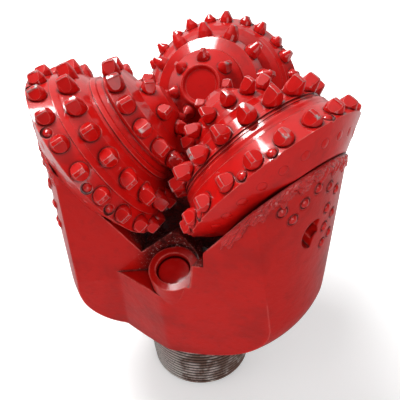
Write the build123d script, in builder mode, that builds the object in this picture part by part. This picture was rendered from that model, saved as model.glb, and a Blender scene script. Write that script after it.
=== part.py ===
from build123d import *
from math import acos, atan2, cos, degrees, radians, sin, sqrt, tan
import os

os.makedirs("parts", exist_ok=True)

# Three-cone roller drill bit, standing on the end of its threaded pin with the cones up.
# Millimetres. The bit's axis is Z and z = 0 is the end face of the pin.
# Azimuths are in degrees from -Y, positive towards +X.

# ---- the bit as a whole
gauge_diameter = 311.15
apex_height = 410.0
journal_angle = 33.0
cone_offset = 5.7
units = (1, 2, 3)
unit_azimuths = {1: -60.0, 2: 60.0, 3: 180.0}

# ---- pin: API 6-5/8 REG, thread left to the surface finish
pin_length = 127.0
pin_large_diameter = 152.197
pin_taper = 1 / 6
pin_base_diameter = 149.4
pin_base_length = 15.9
thread_depth = 3.1
pin_nose_chamfer = 3.0
water_bore_diameter = 82.0
shoulder_diameter = 186.9
shoulder_flare = 13.0
shoulder_bevel = 4.0

# ---- welded body: flat facets that lean out with height, cut by a round outer face
leg_gap = 2.6
ridge_round = 14.0
valley_round = 6.0
bowl_top_height = 203.0
facet_break_height = 218.0
facets = {
    "flank": (-54.0, 118.7, 5.6, 5.6),
    "back": (83.3, 70.6, 2.5, 8.0),
    "web": (41.2, 113.0, 4.0, 5.6),
}
floor_break_angle = 62.0
low_floor_height = 230.0
high_floor_height = 284.0
throat_radius = 73.0
throat_floor_height = 247.0
seam_lead = 21.0
plenum_height = 168.0

# ---- running gap between a cone's back and its leg, and the pocket a cone turns in
back_gap = 0.8
pocket_radius = 107.0
pocket_half_angle = 52.0

# ---- bearing, measured along the cone axis from the axis crossing
cone_back = 143.0
gland_front = 132.0
journal_front = 101.0
thrust_face = 82.0
pilot_front = 62.0
cavity_end = 60.0
running_clearance = 0.15
end_clearance = 0.5
seal_land_radius = 37.5
gland_radius = 46.0
journal_radius = 36.0
bushing_wall = 4.0
flange_radius = 33.0
pilot_radius = 22.0
pilot_bushing_wall = 4.0
washer_thickness = 2.9
ball_radius = 7.0
ball_circle_radius = 34.0
ball_station = 93.0
race_clearance = 0.15
ball_count = 14
seal_width = 7.0

# ---- ball loading hole and plug, with a D-shaped recess round its mouth
ball_hole_radius = 7.8
ball_hole_height = 307.0
ball_hole_azimuth = 1.5
ball_recess_radius = 14.5
ball_recess_chord = 4.0
ball_recess_turn = 20.0
ball_recess_depth = 9.0

# ---- jet nozzles
nozzle_lead = 5.0
nozzle_reach = 104.0
nozzle_height = 256.0
nozzle_rise = 73.0
boss_radius = 24.5
boss_root_radius = 25.5
boss_length = 90.0
spot_face_overcut = 3.0
port_radius = 17.2
port_depth = 13.0
plug_thickness = 4.0
plug_sink = 6.5
nozzle_radius = 15.0
nozzle_length = 32.0
orifice_radius = 5.6
nozzle_inlet_radius = 11.0
o_ring_radius = 1.75
snap_ring_thickness = 2.0
snap_ring_reach = 1.3
passage_radius = 11.0
passage_foot_reach = 25.0
passage_foot_height = 150.0
seat_clearance = 0.05

# ---- grease reservoirs
reservoir_angle = 50.0
reservoir_radius = 19.0
reservoir_depth = 48.0
cap_thickness = 7.0
cap_sink = 4.0
diaphragm_wall = 1.6
diaphragm_length = 32.0
spot_face_radius = 23.0
grease_hole_radius = 3.0

# ---- cutting structure
gauge_insert_radius = 7.94
large_insert_radius = 8.33
small_insert_radius = 7.15
nose_insert_radius = 5.5
trimmer_radius = 4.4
heel_button_radius = 4.4
shirttail_button_radius = 6.35
grip_depth = 11.0
crest_thickness_share = 0.5
crest_length_share = 1.25
crest_round = 0.8
hole_lift = 6.0
heel_button_depth = 5.0
heel_button_head = 0.6
trimmer_count = 13
trimmer_lean = 16.0
trimmer_sink = 1.2
trimmer_head = 2.6
trimmer_depth = 6.0
trimmer_setbacks = {1: 4.5, 2: 4.5, 3: 2.3}
spot_radius = 5.6
spot_height = 8.0
# Turn of the first trimmer from the first gauge insert, in pitches of the gauge ring.
trimmer_shifts = {1: 1.5, 2: -0.5, 3: 0.2}
crease_station = 123.8
heel_gap = 0.9
land_station = 98.0
land_radius = 77.5

gauge_radius = gauge_diameter / 2
leg_radius = gauge_radius - leg_gap


# ---------------------------------------------------------------- frames
def flat(point):
    """Level coordinates of a point."""
    return (point.X, point.Y)


def outward(azimuth):
    """Level unit vector at an azimuth."""
    return Vector(sin(radians(azimuth)), -cos(radians(azimuth)), 0)


def sideways(azimuth):
    """Level unit vector square to the azimuth, counter-clockwise seen from above."""
    return Vector(cos(radians(azimuth)), sin(radians(azimuth)), 0)


def place(azimuth, radius, height):
    """Point at a radius and a height on an azimuth."""
    return outward(azimuth) * radius + Vector(0, 0, height)


def cone_out(unit):
    """Direction of the cone axis, from the cone's nose towards its leg."""
    tilt = radians(journal_angle)
    return outward(unit_azimuths[unit]) * cos(tilt) - Vector(0, 0, sin(tilt))


def cone_up(unit):
    """Direction square to the cone axis, towards the hole wall that the cone cuts."""
    tilt = radians(journal_angle)
    return outward(unit_azimuths[unit]) * sin(tilt) + Vector(0, 0, cos(tilt))


def cone_origin(unit):
    """Point of the cone axis beside the bit's own axis, shifted by the cone offset."""
    return sideways(unit_azimuths[unit]) * cone_offset + Vector(0, 0, apex_height)


def cone_axis(unit):
    """Axis that the cone turns about."""
    return Axis(cone_origin(unit), cone_out(unit))


def half_plane(unit):
    """Sketch plane of the cone's profiles: x is the radius, y runs out along the cone axis."""
    normal = cone_up(unit).cross(cone_out(unit))
    return Plane(origin=cone_origin(unit), x_dir=cone_up(unit), z_dir=normal)


def ring_planes(unit, station, radius, tilt, turns):
    """Planes at turns about the cone axis: z leaves the cone's surface, x runs along the axis."""
    planes = []
    for turn in turns:
        spoke = cone_up(unit) * cos(radians(turn)) + sideways(unit_azimuths[unit]) * sin(radians(turn))
        lean = spoke * cos(radians(tilt)) - cone_out(unit) * sin(radians(tilt))
        along = spoke * sin(radians(tilt)) + cone_out(unit) * cos(radians(tilt))
        seat = cone_origin(unit) + cone_out(unit) * station + spoke * radius
        planes.append(Plane(origin=seat, x_dir=along, z_dir=lean))
    return planes


def radial_plane(azimuth, radius, height, rise):
    """Plane on an azimuth whose normal rises by an angle over the level."""
    normal = outward(azimuth) * cos(radians(rise)) + Vector(0, 0, sin(radians(rise)))
    return Plane(origin=place(azimuth, radius, height), x_dir=sideways(azimuth), z_dir=normal)


def nozzle_plane(unit):
    """Plane of a nozzle boss's mouth; its normal is the way the jet leaves."""
    azimuth = unit_azimuths[unit] + 60 + nozzle_lead
    return radial_plane(azimuth, nozzle_reach, nozzle_height, nozzle_rise)


def section_plane(mouth):
    """Sketch plane through a mouth's normal: x is the radius, y leaves along the normal."""
    return Plane(origin=mouth.origin, x_dir=mouth.x_dir, z_dir=mouth.x_dir.cross(mouth.z_dir))


def bowl_radius():
    """Radius of the round that joins the leg's outer face to the shoulder."""
    width = leg_radius - shoulder_diameter / 2 - shoulder_bevel
    height = bowl_top_height - pin_length - shoulder_bevel
    return (width ** 2 + height ** 2) / (2 * width)


def reservoir_plane(unit):
    """Plane of a reservoir's mouth, square to the rounded foot of the leg."""
    radius = bowl_radius()
    reach = leg_radius - radius + radius * cos(radians(reservoir_angle))
    height = bowl_top_height - radius * sin(radians(reservoir_angle))
    return radial_plane(unit_azimuths[unit], reach, height, -reservoir_angle)


# ---------------------------------------------------------------- cone layouts
def crease_ring_radius():
    """Radius of the crease whose circle, swept on the offset axis, stays inside the gauge."""
    tilt = radians(journal_angle)
    reach = gauge_radius - heel_gap
    return (reach - crease_station * cos(tilt)) / sin(tilt)


crease_radius = crease_ring_radius()
back_radius = crease_radius - (cone_back - crease_station) / tan(radians(journal_angle))
# Outlines from the nose to the inner edge of the gauge land: (station, radius).
heel_outline = [(land_station, land_radius), (crease_station, crease_radius), (cone_back, back_radius)]
nose_outlines = {
    1: [(31.1, 15.6), (36.6, 23.3), (46.0, 32.5), (50.6, 48.2), (65.6, 56.6), (69.5, 52.5),
        (82.0, 60.0), (86.5, 69.5)],
    2: [(24.9, 10.9), (31.1, 18.7), (39.7, 25.7), (43.6, 35.0), (56.8, 42.8), (61.0, 44.0),
        (70.5, 57.0), (74.5, 67.5), (86.5, 73.0)],
    3: [(41.5, 16.5), (38.5, 19.5), (38.5, 21.0), (57.0, 41.0), (61.5, 42.5), (66.0, 56.0),
        (79.0, 62.0), (84.0, 62.0), (93.0, 70.5)],
}
# Rings of inserts: station, radius, lean towards the nose, insert radius, standing height,
# count and phase of the first insert in pitches.
gauge_rings = {
    1: [(115.1, 88.1, 12.0, gauge_insert_radius, 9.8, 20, 0.75)],
    2: [(115.1, 88.1, 12.0, gauge_insert_radius, 9.8, 20, 0.55)],
    3: [(112.7, 86.6, 12.0, small_insert_radius, 11.5, 13, 0.08),
        (117.0, 89.2, 12.0, small_insert_radius, 8.1, 13, 0.56)],
}
second_rings = {
    1: (92.4, 73.2, 12.0, large_insert_radius, 14.0, 18, 0.58),
    2: (80.1, 70.6, 12.0, large_insert_radius, 15.0, 18, 0.42),
    3: (74.0, 59.5, 10.0, large_insert_radius, 15.0, 13, 0.48),
}
inner_rings = {
    1: [(58.2, 52.6, 20.0, large_insert_radius, 13.0, 14, 0.77),
        (39.7, 25.7, 40.0, small_insert_radius, 10.0, 6, 0.3)],
    2: [(50.4, 39.8, 20.0, small_insert_radius, 13.0, 12, 0.01),
        (29.6, 15.6, 50.0, nose_insert_radius, 9.0, 3, 0.2)],
    3: [(46.4, 28.8, 35.0, small_insert_radius, 10.0, 7, 0.13)],
}


def finish(piece, name):
    """Label a piece and write it as a node."""
    piece.part.label = name
    export_step(piece.part, "parts/" + name + ".step")


def even_turns(ring):
    """Turns of the inserts of an evenly divided ring, in degrees."""
    count, phase = ring[5], ring[6]
    return [360 / count * (index + phase) for index in range(count)]


def ring_locations(unit, ring, turns, lift=0.0):
    """Seats of a ring of inserts, or places lifted over the seats."""
    planes = ring_planes(unit, ring[0], ring[1], ring[2], turns)
    return [plane.offset(lift).location for plane in planes]


def ring_holes(unit, ring, turns, depth):
    """Drilled holes of a ring of inserts, from above the cone's surface to the grips' depth."""
    with Locations(*ring_locations(unit, ring, turns, hole_lift)):
        Cylinder(ring[3], depth + hole_lift, align=(Align.CENTER, Align.CENTER, Align.MAX),
                 mode=Mode.SUBTRACT)


# ---------------------------------------------------------------- inserts
def chisel(radius, height):
    """Chisel insert: a round grip and a tapered top cut to a crest by two flats."""
    tip = radius * crest_length_share / 2
    crest = radius * crest_thickness_share / 2
    shoulder = tip + crest_round
    with BuildPart(mode=Mode.PRIVATE) as insert:
        with BuildSketch(Plane.XZ):
            with BuildLine():
                Polyline((0, height), (0, -grip_depth), (radius, -grip_depth), (radius, height * 0.3),
                         (shoulder, height - 2 * crest_round), (tip, height - 0.6 * crest_round), (0, height))
            make_face()
        revolve(axis=Axis.Z)
        for side in (1, -1):
            with BuildSketch(Plane.YZ):
                with BuildLine():
                    beside = side * (radius + 2)
                    flank = side * (crest + 0.6 * crest_round)
                    Polyline((side * crest, height + 1), (side * crest, height - 0.7 * crest_round),
                             (flank, height - 2.2 * crest_round), (side * radius, height * 0.22),
                             (beside, height * 0.22), (beside, height + 1), close=True)
                make_face()
            extrude(amount=radius + 2, both=True, mode=Mode.SUBTRACT)
    return insert.part


def dome(radius, depth, height):
    """Button insert: a round grip with a low domed head."""
    head = (radius ** 2 + height ** 2) / (2 * height)
    with BuildPart(mode=Mode.PRIVATE) as insert:
        with BuildSketch(Plane.XZ):
            with BuildLine():
                Polyline((0, height), (0, -depth), (radius, -depth), (radius, 0))
                RadiusArc((radius, 0), (0, height), -head)
            make_face()
        revolve(axis=Axis.Z)
    return insert.part


# Heel buttons lie in the heel cone, and trimmers in spot faces by the crease, between gauge inserts.
heel_button_ring = ((crease_station + cone_back) / 2, (crease_radius + back_radius) / 2,
                    -degrees(atan2(crease_radius - back_radius, cone_back - crease_station)),
                    heel_button_radius, heel_button_head, 24, 0.7)
def trimmer_ring(unit):
    """Ring of trimmers sunk in the gauge land, set back from the crease."""
    station = crease_station - trimmer_setbacks[unit]
    slope = (crease_radius - land_radius) / (crease_station - land_station)
    radius = crease_radius - trimmer_setbacks[unit] * slope - trimmer_sink
    return (station, radius, trimmer_lean, trimmer_radius, trimmer_head)


def trimmer_turns(unit):
    """Turns of a cone's trimmers, each in a gap of its first gauge ring, in degrees."""
    count, phase = gauge_rings[unit][0][5], gauge_rings[unit][0][6]
    gaps = [round(index * count / trimmer_count) for index in range(trimmer_count)]
    return [360 / count * (gap + phase + trimmer_shifts[unit]) for gap in gaps]


# ---------------------------------------------------------------- cones
def cone_shell(unit):
    """Cone body: ridges and grooves outside, bearing bores and ball race inside, insert holes."""
    race = ball_radius + race_clearance
    flange_bore = flange_radius + 2
    pilot_bore = pilot_radius + running_clearance + pilot_bushing_wall
    bearing_bore = journal_radius + running_clearance + bushing_wall
    with BuildPart() as shell:
        with BuildSketch(half_plane(unit)):
            with BuildLine():
                outline = [(0, nose_outlines[unit][0][0])]
                outline += [(radius, station) for station, radius in nose_outlines[unit] + heel_outline]
                outline += [(gland_radius, cone_back), (gland_radius, gland_front)]
                outline += [(bearing_bore, gland_front), (bearing_bore, journal_front)]
                outline += [(flange_bore, journal_front), (flange_bore, thrust_face)]
                outline += [(pilot_bore, thrust_face), (pilot_bore, cavity_end), (0, cavity_end)]
                Polyline(*outline, close=True)
            make_face()
        revolve(axis=cone_axis(unit))
        with BuildSketch(half_plane(unit)):
            with Locations((ball_circle_radius, ball_station)):
                Circle(race)
        revolve(axis=cone_axis(unit), mode=Mode.SUBTRACT)
        for ring in gauge_rings[unit] + [second_rings[unit]] + inner_rings[unit]:
            ring_holes(unit, ring, even_turns(ring), grip_depth)
        ring_holes(unit, heel_button_ring, even_turns(heel_button_ring), heel_button_depth)
        ring_holes(unit, trimmer_ring(unit), trimmer_turns(unit), trimmer_depth)
        with Locations(*ring_locations(unit, trimmer_ring(unit), trimmer_turns(unit))):
            Cylinder(spot_radius, spot_height, align=(Align.CENTER, Align.CENTER, Align.MIN),
                     mode=Mode.SUBTRACT)
    finish(shell, "cone_" + str(unit))


def chisel_rings(unit, rings, name):
    """One node holding rings of chisel inserts, each pressed in its hole."""
    with BuildPart() as group:
        for ring in rings:
            with Locations(*ring_locations(unit, ring, even_turns(ring))):
                add(chisel(ring[3], ring[4]))
    finish(group, name + "_" + str(unit))


def dome_ring(unit, ring, turns, depth, name):
    """One node holding a ring of domed inserts, each pressed in its hole."""
    with BuildPart() as group:
        with Locations(*ring_locations(unit, ring, turns)):
            add(dome(ring[3], depth, ring[4]))
    finish(group, name + "_" + str(unit))


def cone_inserts(unit):
    """All the carbide of one cone."""
    chisel_rings(unit, gauge_rings[unit], "gauge_inserts")
    chisel_rings(unit, [second_rings[unit]], "second_row_inserts")
    chisel_rings(unit, inner_rings[unit], "inner_inserts")
    dome_ring(unit, heel_button_ring, even_turns(heel_button_ring), heel_button_depth, "heel_buttons")
    dome_ring(unit, trimmer_ring(unit), trimmer_turns(unit), trimmer_depth, "trimmer_inserts")


# ---------------------------------------------------------------- bearing
def turned(unit, outline, name):
    """Ring turned about the cone axis from an outline of (radius, station) points."""
    with BuildPart() as ring:
        with BuildSketch(half_plane(unit)):
            with BuildLine():
                Polyline(*outline, close=True)
            make_face()
        revolve(axis=cone_axis(unit))
    finish(ring, name + "_" + str(unit))


def band(inner, outer, start, end):
    """Outline of a plain ring."""
    return [(inner, start), (outer, start), (outer, end), (inner, end)]


def bearing(unit):
    """Bushings, thrust washer, seal and locking balls between a cone and its journal."""
    journal_bore = journal_radius + running_clearance
    journal_band = band(journal_bore, journal_bore + bushing_wall,
                        journal_front + end_clearance, gland_front - end_clearance)
    turned(unit, journal_band, "journal_bushing")
    pilot_bore = pilot_radius + running_clearance
    pilot_band = band(pilot_bore, pilot_bore + pilot_bushing_wall, pilot_front, thrust_face - end_clearance)
    turned(unit, pilot_band, "pilot_bushing")
    washer_band = band(pilot_radius + end_clearance, flange_radius - end_clearance,
                       thrust_face + seat_clearance, thrust_face + washer_thickness)
    turned(unit, washer_band, "thrust_washer")
    seal_start = gland_front + (cone_back - gland_front - seal_width) / 2
    seal_band = band(seal_land_radius + seat_clearance, gland_radius - seat_clearance,
                     seal_start, seal_start + seal_width)
    turned(unit, seal_band, "seal_ring")
    with BuildPart() as balls:
        ball_ring = (ball_station, ball_circle_radius, 0.0, ball_radius, 0.0, ball_count, 0.5)
        with Locations(*ring_locations(unit, ball_ring, even_turns(ball_ring))):
            Sphere(ball_radius)
    finish(balls, "bearing_balls_" + str(unit))


# ---------------------------------------------------------------- legs
def facet_crossing(unit, first, second, height):
    """Point at a height where two facets of the body cross; each is (turn, distance)."""
    turns = [radians(unit_azimuths[unit] + turn) for turn, distance in (first, second)]
    reaches = [first[1], second[1]]
    spread = sin(turns[1] - turns[0])
    x = (reaches[1] * cos(turns[0]) - reaches[0] * cos(turns[1])) / spread
    y = -(reaches[0] * sin(turns[1]) - reaches[1] * sin(turns[0])) / spread
    return Vector(x, y, height)


def facet_line(name, height, turn=0.0):
    """Level line of a facet at a height: azimuth of its normal and distance from the bit's axis."""
    azimuth, distance, lean_above, lean_below = facets[name]
    rise = height - facet_break_height
    lean = lean_above if rise > 0 else lean_below
    return (azimuth + turn, distance + rise * tan(radians(lean)))


def body_outline(height):
    """Twelve-sided level section of the body, wider than the round outer face at the legs."""
    outer = (0.0, leg_radius + 8)
    points = []
    for unit in units:
        flank = facet_line("flank", height)
        back = facet_line("back", height)
        web = facet_line("web", height)
        points += [facet_crossing(unit, flank, outer, height), facet_crossing(unit, outer, back, height),
                   facet_crossing(unit, back, web, height),
                   facet_crossing(unit, web, facet_line("flank", height, 120.0), height)]
    return points


def body_stage(bottom, top):
    """Solid between two level sections of the body, with flat leaning facets."""
    with BuildPart() as stage:
        for height in (bottom, top):
            corners = [flat(point) for point in body_outline(height)]
            with BuildSketch(Plane.XY.offset(height)) as section:
                with BuildLine():
                    Polyline(*corners, close=True)
                make_face()
                for first, rounding in ((2, valley_round), (3, ridge_round)):
                    spots = [Vector(*corner, 0) for corner in corners[first::4]]
                    bends = [corner for corner in section.vertices()
                             if min((Vector(corner.X, corner.Y, 0) - spot).length for spot in spots) < 0.01]
                    fillet(bends, rounding)
        loft(ruled=True)
    return stage.part


def throat_gap(unit, end_angle, floor):
    """Space beside a leg above a floor, from the leg's back facet to a level line at an angle."""
    reach = leg_radius * 1.4
    depth = apex_height - floor
    with BuildPart() as gap:
        for height in (floor, apex_height):
            azimuth, distance = facet_line("back", height)
            start = unit_azimuths[unit] + end_angle
            near = place(start, distance / cos(radians(end_angle - azimuth)), height)
            turn = azimuth - degrees(acos(distance / reach))
            points = [near, place(unit_azimuths[unit] + turn, reach, height), place(start, reach, height)]
            with BuildSketch(Plane.XY.offset(height)):
                with BuildLine():
                    Polyline(*[flat(point) for point in points], close=True)
                make_face()
        loft(ruled=True)
    return gap.part


def front_space(unit):
    """Space above the high floor in a leg's third, in front of the face that backs the cone."""
    reach = leg_radius * 1.4
    face = Plane(origin=cone_origin(unit) + cone_out(unit) * (cone_back + back_gap), z_dir=cone_out(unit))
    with BuildPart() as space:
        with BuildSketch(Plane.XY.offset(high_floor_height)):
            with BuildLine():
                start = unit_azimuths[unit] - 60 + seam_lead
                corners = [flat(place(start + turn, reach, 0)) for turn in (0, 60, 120)]
                Polyline((0, 0), *corners, close=True)
            make_face()
        extrude(amount=apex_height - high_floor_height)
        split(bisect_by=face, keep=Keep.BOTTOM)
    return space.part


def body_blank():
    """The welded body before it is divided: pin, bowl, facets, bosses, journals and bores."""
    pin_root = pin_large_diameter / 2 - thread_depth
    thread_length = pin_length - pin_base_length
    nose_root = pin_root - pin_length * pin_taper / 2
    base_root = pin_root - pin_base_length * pin_taper / 2
    foot_radius = shoulder_diameter / 2 + shoulder_flare
    foot_height = pin_length + shoulder_bevel
    flange_front = thrust_face + washer_thickness + 0.1
    race_floor = ball_circle_radius - ball_radius - race_clearance
    race_half = sqrt((ball_radius + race_clearance) ** 2 - (ball_circle_radius - flange_radius) ** 2)
    with BuildPart() as body:
        add(body_stage(pin_length, facet_break_height))
        add(body_stage(facet_break_height, apex_height))
        # open throat between the legs: low beside the leg's back, high beyond the jet
        for unit in units:
            add(throat_gap(unit, floor_break_angle, low_floor_height), mode=Mode.SUBTRACT)
            add(throat_gap(unit, 60 + seam_lead, high_floor_height), mode=Mode.SUBTRACT)
        # jet bosses, wider towards the shoulder, with a spot face round each mouth
        for unit in units:
            with BuildSketch(nozzle_plane(unit)):
                Circle(boss_radius)
            with BuildSketch(nozzle_plane(unit).offset(-boss_length)):
                Circle(boss_root_radius)
            loft()
        for unit in units:
            with BuildSketch(nozzle_plane(unit)):
                Circle(boss_radius + spot_face_overcut)
            extrude(amount=boss_length, mode=Mode.SUBTRACT)
        # round outer face, and a rounded foot that runs in to the shoulder
        with BuildSketch(Plane.XZ):
            with BuildLine():
                TangentArc((leg_radius, bowl_top_height), (foot_radius, foot_height), tangent=(0, -1))
                Polyline((foot_radius, foot_height), (shoulder_diameter / 2, pin_length), (0, pin_length),
                         (0, apex_height), (leg_radius, apex_height), (leg_radius, bowl_top_height))
            make_face()
        revolve(axis=Axis.Z, mode=Mode.INTERSECT)
        # pin
        with BuildSketch(Plane.XZ):
            with BuildLine():
                Polyline((0, 0), (nose_root - pin_nose_chamfer, 0), (nose_root, pin_nose_chamfer),
                         (base_root, thread_length), (pin_base_diameter / 2, thread_length),
                         (pin_base_diameter / 2, pin_length + 1), (0, pin_length + 1), close=True)
            make_face()
        revolve(axis=Axis.Z)
        # pockets that the cones turn in
        for unit in units:
            with BuildSketch(half_plane(unit)):
                with BuildLine():
                    wide = pocket_radius / tan(radians(pocket_half_angle))
                    Polyline((0, 0), (pocket_radius, wide), (pocket_radius, cone_back + back_gap),
                             (0, cone_back + back_gap), close=True)
                make_face()
            revolve(axis=cone_axis(unit), mode=Mode.SUBTRACT)
            add(front_space(unit), mode=Mode.SUBTRACT)
        with BuildSketch(Plane.XY.offset(throat_floor_height)):
            Circle(throat_radius)
        extrude(amount=apex_height - throat_floor_height, mode=Mode.SUBTRACT)
        # journals
        for unit in units:
            with BuildSketch(half_plane(unit)):
                with BuildLine():
                    Polyline((0, pilot_front), (pilot_radius, pilot_front), (pilot_radius, flange_front),
                             (flange_radius, flange_front), (flange_radius, ball_station - race_half))
                    ThreePointArc((flange_radius, ball_station - race_half), (race_floor, ball_station),
                                  (flange_radius, ball_station + race_half))
                    Polyline((flange_radius, ball_station + race_half), (flange_radius, journal_front),
                             (journal_radius, journal_front), (journal_radius, gland_front),
                             (seal_land_radius, gland_front), (seal_land_radius, cone_back + back_gap + 6),
                             (0, cone_back + back_gap + 6), (0, pilot_front))
                make_face()
            revolve(axis=cone_axis(unit))
        # water course, jets, ball holes and grease reservoirs
        with BuildSketch():
            Circle(water_bore_diameter / 2)
        extrude(amount=plenum_height, mode=Mode.SUBTRACT)
        for unit in units:
            add(jet_way(unit), mode=Mode.SUBTRACT)
            add(ball_hole(unit), mode=Mode.SUBTRACT)
            add(reservoir_bore(unit), mode=Mode.SUBTRACT)
            with Locations(*shirttail_locations(unit)):
                Cylinder(shirttail_button_radius, 2 * shirttail_button_depth, mode=Mode.SUBTRACT)
    return body.part


def jet_way(unit):
    """Space of one jet: port, nozzle bore, snap ring groove and passage to the water course."""
    mouth = nozzle_plane(unit)
    bore = nozzle_radius + seat_clearance
    steps = [(port_radius, 0, port_depth), (bore, port_depth, nozzle_length),
             (passage_radius, port_depth + nozzle_length, 16),
             (port_radius + snap_ring_reach, port_depth - snap_ring_thickness, snap_ring_thickness)]
    bend = mouth.offset(-port_depth - nozzle_length - 12).origin
    azimuth = unit_azimuths[unit] + 60 + nozzle_lead
    way = place(azimuth, passage_foot_reach, passage_foot_height) - bend
    with BuildPart() as space:
        for radius, start, length in steps:
            with BuildSketch(mouth.offset(-start)):
                Circle(radius)
            extrude(amount=-length)
        with BuildSketch(Plane(origin=bend, z_dir=way)):
            Circle(passage_radius)
        extrude(amount=way.length)
        with Locations(Location(bend)):
            Sphere(passage_radius)
    return space.part


def ball_hole_line(unit):
    """Mouth and far end of the hole that the balls are loaded through."""
    azimuth = unit_azimuths[unit] + ball_hole_azimuth
    mouth = place(azimuth, leg_radius, ball_hole_height)
    race_radius = ball_circle_radius - ball_radius
    race = cone_origin(unit) + cone_out(unit) * ball_station - cone_up(unit) * race_radius
    return mouth, race


def ball_hole_plane(unit):
    """Plane at the mouth of the ball hole, normal out of the leg."""
    mouth, race = ball_hole_line(unit)
    return Plane(origin=mouth, x_dir=sideways(unit_azimuths[unit]), z_dir=mouth - race)


def ball_hole(unit):
    """Space of the ball loading hole and of the milled recess round its mouth."""
    mouth, race = ball_hole_line(unit)
    plane = ball_hole_plane(unit)
    with BuildPart() as space:
        with BuildSketch(plane.offset(5)):
            with BuildLine():
                half = sqrt(ball_recess_radius ** 2 - ball_recess_chord ** 2)
                low = Vector(ball_recess_chord, -half).rotate(Axis.Z, -ball_recess_turn)
                high = Vector(ball_recess_chord, half).rotate(Axis.Z, -ball_recess_turn)
                left = Vector(-ball_recess_radius, 0).rotate(Axis.Z, -ball_recess_turn)
                Line(flat(low), flat(high))
                ThreePointArc(flat(high), flat(left), flat(low))
            make_face()
        extrude(amount=-ball_recess_depth - 5)
        with BuildSketch(plane):
            Circle(ball_hole_radius)
        extrude(amount=-(mouth - race).length)
    return space.part


def reservoir_bore(unit):
    """Space of a reservoir: bore, spot face, ring groove and the grease way to the ball hole."""
    plane = reservoir_plane(unit)
    groove = reservoir_radius + snap_ring_reach
    mouth, race = ball_hole_line(unit)
    foot = plane.offset(-reservoir_depth + 4).origin
    way = mouth + (race - mouth) * 0.32 - foot
    steps = [(spot_face_radius, -6, 8), (reservoir_radius, 0, reservoir_depth),
             (groove, cap_sink - snap_ring_thickness, snap_ring_thickness)]
    with BuildPart() as space:
        for radius, start, length in steps:
            with BuildSketch(plane.offset(-start)):
                Circle(radius)
            extrude(amount=-length)
        with BuildSketch(Plane(origin=foot, z_dir=way)):
            Circle(grease_hole_radius)
        extrude(amount=way.length)
    return space.part


# Shirttail buttons: azimuth from the leg's middle and height.
shirttail_spots = [(-14.0, 351.0), (-9.3, 338.0), (-4.8, 350.0), (1.2, 358.0), (8.4, 350.0),
                   (14.5, 338.0), (9.1, 325.0), (14.5, 311.0), (9.2, 303.5), (14.5, 287.0), (9.4, 283.0)]
shirttail_button_depth = 6.0
shirttail_button_head = 2.4


def shirttail_locations(unit):
    """Seats of the buttons on a leg's outer face."""
    azimuth = unit_azimuths[unit]
    return [radial_plane(azimuth + turn, leg_radius, height, 0).location for turn, height in shirttail_spots]


def legs():
    """The three forged legs: thirds of the welded body, parted beside the jet bosses."""
    body = body_blank()
    for unit in units:
        start = unit_azimuths[unit] - 60 + seam_lead
        with BuildPart() as leg:
            add(body)
            with BuildSketch():
                with BuildLine():
                    reach = leg_radius * 3
                    corners = [flat(place(start + turn, reach, 0)) for turn in (0, 60, 120)]
                    Polyline((0, 0), *corners, close=True)
                make_face()
            extrude(amount=apex_height + 10, mode=Mode.INTERSECT)
        finish(leg, "leg_" + str(unit))


# ---------------------------------------------------------------- pieces carried by the legs
def leg_fittings(unit):
    """Ball plug, shirttail buttons, nozzle with its plug, and reservoir parts of one leg."""
    mouth, race = ball_hole_line(unit)
    with BuildPart() as ball_plug:
        with BuildSketch(ball_hole_plane(unit).offset(-ball_recess_depth)):
            Circle(ball_hole_radius - seat_clearance)
        extrude(amount=-((mouth - race).length - ball_recess_depth - 1))
        with BuildSketch(half_plane(unit)):
            with Locations((ball_circle_radius, ball_station)):
                Circle(ball_radius + race_clearance)
        revolve(axis=cone_axis(unit), mode=Mode.SUBTRACT)
    finish(ball_plug, "ball_plug_" + str(unit))

    with BuildPart() as buttons:
        with Locations(*shirttail_locations(unit)):
            add(dome(shirttail_button_radius, shirttail_button_depth, shirttail_button_head))
    finish(buttons, "shirttail_buttons_" + str(unit))

    mouth_fittings(unit)


def turned_in(mouth, outline):
    """Piece turned about a mouth's normal from an outline of (radius, height) points."""
    with BuildPart(mode=Mode.PRIVATE) as piece:
        with BuildSketch(section_plane(mouth)):
            with BuildLine():
                Polyline(*outline, close=True)
            make_face()
        revolve(axis=Axis(mouth.origin, mouth.z_dir))
    return piece


def mouth_fittings(unit):
    """Nozzle and port plug of a jet, diaphragm and cap of a reservoir."""
    mouth = nozzle_plane(unit)
    top = -port_depth
    foot = top - nozzle_length
    groove = nozzle_radius - 2 * o_ring_radius - seat_clearance
    middle = (top + foot) / 2
    groove_top = middle + o_ring_radius
    groove_foot = middle - o_ring_radius
    nozzle = turned_in(mouth, [
        (orifice_radius, top), (nozzle_radius, top), (nozzle_radius, groove_top), (groove, groove_top),
        (groove, groove_foot), (nozzle_radius, groove_foot), (nozzle_radius, foot),
        (nozzle_inlet_radius, foot), (orifice_radius, middle)])
    finish(nozzle, "nozzle_" + str(unit))
    port_plug = turned_in(mouth, [
        (0, -plug_sink), (port_radius - 2, -plug_sink), (port_radius - seat_clearance, -plug_sink - 1),
        (port_radius - seat_clearance, -plug_sink - plug_thickness), (0, -plug_sink - plug_thickness)])
    finish(port_plug, "nozzle_port_plug_" + str(unit))
    seat = reservoir_plane(unit)
    lid = reservoir_radius - seat_clearance
    below = -cap_sink - cap_thickness
    cap = turned_in(seat, [
        (0, -cap_sink - 2), (6, -cap_sink - 2), (7, -cap_sink), (lid, -cap_sink), (lid, below), (0, below)])
    finish(cap, "reservoir_cap_" + str(unit))
    end = below - diaphragm_length
    diaphragm = turned_in(seat, [
        (0, end), (lid - 3, end), (lid - 1, below - 3), (lid, below - 3), (lid, below),
        (lid - 1 - diaphragm_wall, below), (lid - 3 - diaphragm_wall, end + diaphragm_wall),
        (0, end + diaphragm_wall)])
    finish(diaphragm, "reservoir_diaphragm_" + str(unit))


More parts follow.
